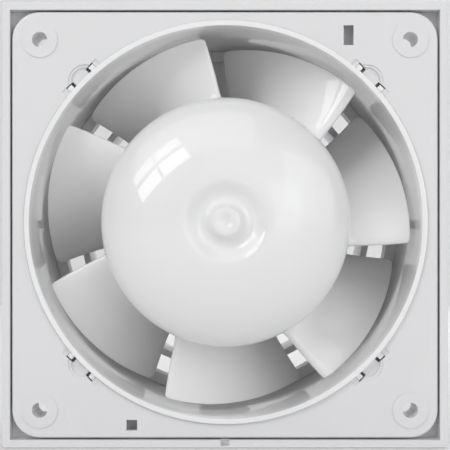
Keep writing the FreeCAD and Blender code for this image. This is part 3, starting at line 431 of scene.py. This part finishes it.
def blade_loop(radius):
    """One closed loop round the blade at this radius, in millimetres."""
    along = (radius - HUB_RADIUS) / (BLADE_TIP - HUB_RADIUS)
    sweep = math.radians(BLADE_SWEEP) * (1 - along)
    thickness = ROOT_THICKNESS * (1 - along) + TIP_THICKNESS * along
    thickness += ROOT_FLARE * math.exp(-max(0.0, radius - HUB_RADIUS) / FILLET)
    to_tip = BLADE_TIP - radius
    thickness -= 2 * corner_cut(to_tip, TIP_ROUND)
    span = math.radians(BLADE_SPAN)
    lead = corner_cut(to_tip, LEAD_CORNER) / (radius * span)
    trail = corner_cut(to_tip, TRAIL_CORNER) / (radius * span)
    last = CHORD_POINTS - 1
    middle = []
    for index in range(CHORD_POINTS):
        chord = lead + (1 - lead - trail) * index / last
        angle = span * (0.5 - chord) + sweep
        depth = BLADE_FRONT + (BLADE_REAR - BLADE_FRONT) * chord ** CAMBER
        middle.append(Vector((radius * angle, depth)))
    front = []
    rear = []
    for index, point in enumerate(middle):
        run = (middle[min(index + 1, last)] - middle[max(index - 1, 0)]).normalized()
        across = Vector((-run.y, run.x)) * thickness / 2
        front.append(point + across)
        rear.append(point - across)
    loop = front + end_cap(front[-1], rear[-1]) + rear[::-1] + end_cap(rear[0], front[0])
    return [(radius * math.sin(p.x / radius), p.y, radius * math.cos(p.x / radius)) for p in loop]


def end_cap(first, last, steps=5):
    """The half round between the two sides of an edge."""
    centre = (first + last) / 2
    arm = first - centre
    points = []
    for index in range(1, steps):
        angle = -math.pi * index / steps
        turned = Vector((arm.x * math.cos(angle) - arm.y * math.sin(angle),
                         arm.x * math.sin(angle) + arm.y * math.cos(angle)))
        points.append(centre + turned)
    return points


def blade_mesh():
    """Vertices and faces of one blade, closed at both ends: its rows crowd at the root and the tip."""
    radii = [HUB_RADIUS - 1.2, HUB_RADIUS - 0.4]
    radii += [HUB_RADIUS + 0.5 * index for index in range(1, 9)]
    radii += list(np.linspace(HUB_RADIUS + 6, BLADE_TIP - 3, 12))
    radii += [BLADE_TIP - step for step in (2.2, 1.5, 1.0, 0.7, 0.45, 0.25, 0.1, 0.0)]
    loops = [blade_loop(radius) for radius in radii]
    size = len(loops[0])
    vertices = [point for loop in loops for point in loop]
    faces = []
    for row in range(len(loops) - 1):
        for index in range(size):
            following = (index + 1) % size
            faces.append([row * size + index, row * size + following,
                          (row + 1) * size + following, (row + 1) * size + index])
    for row in (0, len(loops) - 1):
        faces += cap_faces(row * size, size)
    return vertices, faces


def cap_faces(start, size):
    """Quads across a loop, from its front side to its rear side."""
    faces = []
    low = 0
    high = size - 1
    while high - low > 2:
        faces.append([start + low, start + low + 1, start + high - 1, start + high])
        low += 1
        high -= 1
    if high - low == 2:
        faces.append([start + low, start + low + 1, start + high])
    return faces


def impeller_moulding():
    """The hub, its ribs and the blades as one moulding."""
    vertices, faces = revolve(hub_profile(), HUB_SEGMENTS)
    for index in range(BLADE_COUNT):
        add_turned(vertices, faces, blade_mesh(), BLADE_FIRST + 360 / BLADE_COUNT * index)
    for index in range(RIB_COUNT):
        add_turned(vertices, faces, rib_mesh(), 360 / RIB_COUNT * index)
    piece = add_mesh("impeller_moulding", [Vector(vertex) * MM for vertex in vertices], faces)
    tidy_normals(piece)
    shade(piece, 38)
    wear(piece, MATERIALS["white_impeller"])
    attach(piece, "rotor")
    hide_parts("impeller_hub", "impeller_blades")
    return piece


# ---------------------------------------------------------------- duct sleeve

DUCT_RADIUS = 72.7
RING_RADIUS = 74.7
SPIGOT_RADIUS = 74.0
RING_FRONT = -18.0
DUCT_REAR = 78.0
RIM_ROUND = 0.3
LUG_WIDTH = 2.2
LUG_OFFSET = 5.5
LUG_OUTSIDE = 76.5
LUG_FRONT = -16.3
LUG_REAR = -11.2
LUG_ROOT = DUCT_RADIUS + 1.2
LUG_EDGE = 0.25
REAR_EDGE = 0.3
SLEEVE_SEGMENTS = 288
INSIDE_ROWS = (-10.0, 5.0, 20.0, 36.0, 50.0, 65.0)
OUTSIDE_ROWS = (50.0, 25.0, 0.0)


def sleeve_profile():
    """The sleeve's closed section: rounded inlet rim, duct wall, rear edge, spigot and rim's back."""
    edge = REAR_EDGE
    points = corner_arc((RING_RADIUS - RIM_ROUND, RING_FRONT + RIM_ROUND), RIM_ROUND, 0, -90)
    points += corner_arc((DUCT_RADIUS + RIM_ROUND, RING_FRONT + RIM_ROUND), RIM_ROUND, -90, -180)
    points += [(DUCT_RADIUS, y) for y in INSIDE_ROWS]
    points += corner_arc((DUCT_RADIUS + edge, DUCT_REAR - edge), edge, 180, 90, 3)
    points += corner_arc((SPIGOT_RADIUS - edge, DUCT_REAR - edge), edge, 90, 0, 3)
    points += [(SPIGOT_RADIUS, y) for y in OUTSIDE_ROWS]
    points += [(RING_RADIUS, 0.0)]
    points.append(points[0])
    return points


def rounded_block(size, centre, bevel):
    """Vertices and faces of a block with bevelled edges, in millimetres."""
    work = bmesh.new()
    bmesh.ops.create_cube(work, size=1.0)
    bmesh.ops.scale(work, vec=size, verts=work.verts)
    bmesh.ops.bevel(work, geom=work.edges[:], offset=bevel, segments=2, affect="EDGES", profile=0.5)
    bmesh.ops.translate(work, vec=centre, verts=work.verts)
    work.verts.ensure_lookup_table()
    vertices = [tuple(vertex.co) for vertex in work.verts]
    faces = [[vertex.index for vertex in face.verts] for face in work.faces]
    work.free()
    return vertices, faces


def sleeve():
    """The duct sleeve with a pair of snap lugs at each diagonal."""
    vertices, faces = revolve(sleeve_profile(), SLEEVE_SEGMENTS)
    depth = LUG_REAR - LUG_FRONT
    for side in (-1, 1):
        centre = (side * LUG_OFFSET, LUG_FRONT + depth / 2, (LUG_OUTSIDE + LUG_ROOT) / 2)
        lug = rounded_block((LUG_WIDTH, depth, LUG_OUTSIDE - LUG_ROOT), centre, LUG_EDGE)
        for quarter in range(4):
            add_turned(vertices, faces, lug, 45 + 90 * quarter)
    piece = add_mesh("inlet_sleeve", [Vector(vertex) * MM for vertex in vertices], faces)
    tidy_normals(piece)
    shade(piece, 35)
    wear(piece, MATERIALS["white_sleeve"])
    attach(piece, "housing")
    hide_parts("duct_sleeve")
    return piece


# ---------------------------------------------------------------- foam seal

SEAL_INSIDE = RING_RADIUS + 0.1
SEAL_OUTSIDE = 78.4
SEAL_FRONT = -9.2
SEAL_REAR = 0.0
SEAL_BULGE = 0.55
PIT_DEPTH = 0.16
PIT_SIZE = 1.3
PIT_CONTRAST = 1.6
SEAL_SEGMENTS = 480


def seal_profile():
    """The squeezed ring's section: flat on the tray and the wall, crowned between them."""
    steps = 16
    depth = SEAL_REAR - SEAL_FRONT
    flat_end = SEAL_OUTSIDE - SEAL_BULGE
    points = []
    for index in range(steps + 1):
        from_middle = 2 * index / steps - 1
        crown = SEAL_OUTSIDE - SEAL_BULGE * from_middle ** 2 - PIT_DEPTH
        points.append((crown, SEAL_FRONT + depth * index / steps))
    for part in (0.75, 0.5, 0.25):
        points.append((SEAL_INSIDE + (flat_end - SEAL_INSIDE) * part, SEAL_REAR))
    for index in range(steps + 1):
        points.append((SEAL_INSIDE, SEAL_REAR - depth * index / steps))
    for part in (0.25, 0.5, 0.75):
        points.append((SEAL_INSIDE + (flat_end - SEAL_INSIDE) * part, SEAL_FRONT))
    points.append(points[0])
    return points


def foam_ring():
    """The foam seal, its outside pitted with open cells."""
    vertices, faces = revolve(seal_profile(), SEAL_SEGMENTS)
    pitted = []
    for x, y, z in vertices:
        radius = math.hypot(x, z)
        if radius > SEAL_INSIDE + 1:
            cells = PIT_CONTRAST * noise_value(Vector((x, y, z)) / PIT_SIZE)
            change = PIT_DEPTH * max(-1.0, min(1.0, cells)) / radius
            x, z = x * (1 + change), z * (1 + change)
        pitted.append((x, y, z))
    piece = add_mesh("foam_ring", [Vector(vertex) * MM for vertex in pitted], faces)
    tidy_normals(piece)
    shade(piece, 50)
    wear(piece, MATERIALS["foam"])
    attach(piece, "housing")
    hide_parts("foam_seal")
    return piece


# ---------------------------------------------------------------- camera, light and stage

CAMERA_AWAY = 0.461
CAMERA_LEFT = 0.0025
CAMERA_BELOW = 0.0055
LENS = 96.0
SHIFT = (0.0133, 0.0267)
FLOOR_Z = -0.0836
TARGET = Vector((0.0, 0.0, 0.0))
WINDOW_LOW = Vector((-0.60, -0.90, 0.47))
WINDOW_HIGH = Vector((-0.70, -0.73, 0.62))
WINDOW_SIDE = Vector((0.733, -0.166, 0.66)).normalized()
PANE_OFFSET = 0.165
FLOOR_COLOUR = (0.88, 0.88, 0.885)
BACKDROP_COLOUR = (0.82, 0.82, 0.825)
STAGE_REACH = 3.0
BACKDROP_Y = 0.9
BACKDROP_TOP = 2.2
AMBIENT = 0.14
SOFT_LIGHTS = (
    ("left_key", (-0.7, -1.2, 1.7), (2.8, 1.6), 1.05),
    ("front_fill", (0.75, -2.15, 0.45), (2.4, 2.4), 0.55),
    ("right_panel", (0.56, -1.1, 0.03), (0.36, 0.75), 1.2),
    ("right_wide", (1.5, -1.2, 0.55), (1.6, 1.2), 1.1),
)


def add_camera():
    """A camera straight in front, its frame shifted to where the fan is."""
    data = bpy.data.cameras.new("camera")
    data.lens = LENS
    data.sensor_width = 36.0
    data.shift_x, data.shift_y = SHIFT
    data.clip_start = 0.01
    camera = bpy.data.objects.new("camera", data)
    camera.location = (-CAMERA_LEFT, -CAMERA_AWAY, -CAMERA_BELOW)
    camera.rotation_euler = (math.radians(90), 0, 0)
    bpy.context.scene.collection.objects.link(camera)
    bpy.context.scene.camera = camera


def area_light(name, place, size, radiance, along=(1, 0, 0), aim=TARGET):
    """A rectangular soft light that faces aim, its first side as near to along as that allows."""
    data = bpy.data.lights.new(name, "AREA")
    data.shape = "RECTANGLE"
    data.size, data.size_y = size
    data.energy = math.pi * size[0] * size[1] * radiance
    light = bpy.data.objects.new(name, data)
    away = (Vector(place) - aim).normalized()
    side = (Vector(along) - away * away.dot(Vector(along))).normalized()
    turn = Matrix((side, away.cross(side), away)).transposed()
    light.matrix_world = Matrix.Translation(place) @ turn.to_4x4()
    bpy.context.scene.collection.objects.link(light)
    return light


def stage_plane(name, corners, colour, roughness):
    """A painted plane of the studio."""
    piece = add_mesh(name, corners, [[0, 1, 2, 3]])
    material, tree, shader = new_material(f"{name}_paint")
    shaded = tuple(channel * 0.98 for channel in colour)
    tree.links.new(ramp(tree, noise(tree, 6, 3), shaded, colour), shader.inputs["Base Color"])
    shader.inputs["Roughness"].default_value = roughness
    piece.data.materials.append(material)
    return piece


def add_stage():
    """A pale floor that the frame stands on and a pale backdrop."""
    reach = STAGE_REACH
    floor = [(-reach, -reach, FLOOR_Z), (reach, -reach, FLOOR_Z),
             (reach, reach, FLOOR_Z), (-reach, reach, FLOOR_Z)]
    stage_plane("floor", floor, FLOOR_COLOUR, 0.6)
    foot = FLOOR_Z - 0.01
    backdrop = [(-reach, BACKDROP_Y, foot), (reach, BACKDROP_Y, foot),
                (reach, BACKDROP_Y, BACKDROP_TOP), (-reach, BACKDROP_Y, BACKDROP_TOP)]
    stage_plane("backdrop", backdrop, BACKDROP_COLOUR, 0.8)


def add_light():
    """A window of four panes at the upper left, soft panels round it and a lit backdrop."""
    scene = bpy.context.scene
    world = bpy.data.worlds.new("studio")
    world.use_nodes = True
    background = world.node_tree.nodes["Background"]
    background.inputs["Color"].default_value = (1.0, 1.0, 1.0, 1)
    background.inputs["Strength"].default_value = AMBIENT
    scene.world = world
    scene.view_settings.view_transform = "Standard"
    for pane, side in (("left", -1), ("right", 1)):
        shift = side * PANE_OFFSET * WINDOW_SIDE
        area_light(f"window_low_{pane}", WINDOW_LOW + shift, (0.30, 0.19), 5.2, WINDOW_SIDE)
        area_light(f"window_high_{pane}", WINDOW_HIGH + shift, (0.30, 0.17), 3.2, WINDOW_SIDE)
    for name, place, size, radiance in SOFT_LIGHTS:
        area_light(name, place, size, radiance)
    area_light("rear_fill", (0.3, 0.8, 0.45), (1.0, 0.8), 1.6).visible_camera = False
    backdrop_aim = Vector((0.0, BACKDROP_Y, 0.2))
    area_light("backdrop_light", (0.0, 0.35, 1.4), (1.6, 0.5), 1.5, aim=backdrop_aim)


dress_cad_nodes()
impeller_moulding()
sleeve()
foam_ring()
add_camera()
add_light()
add_stage()
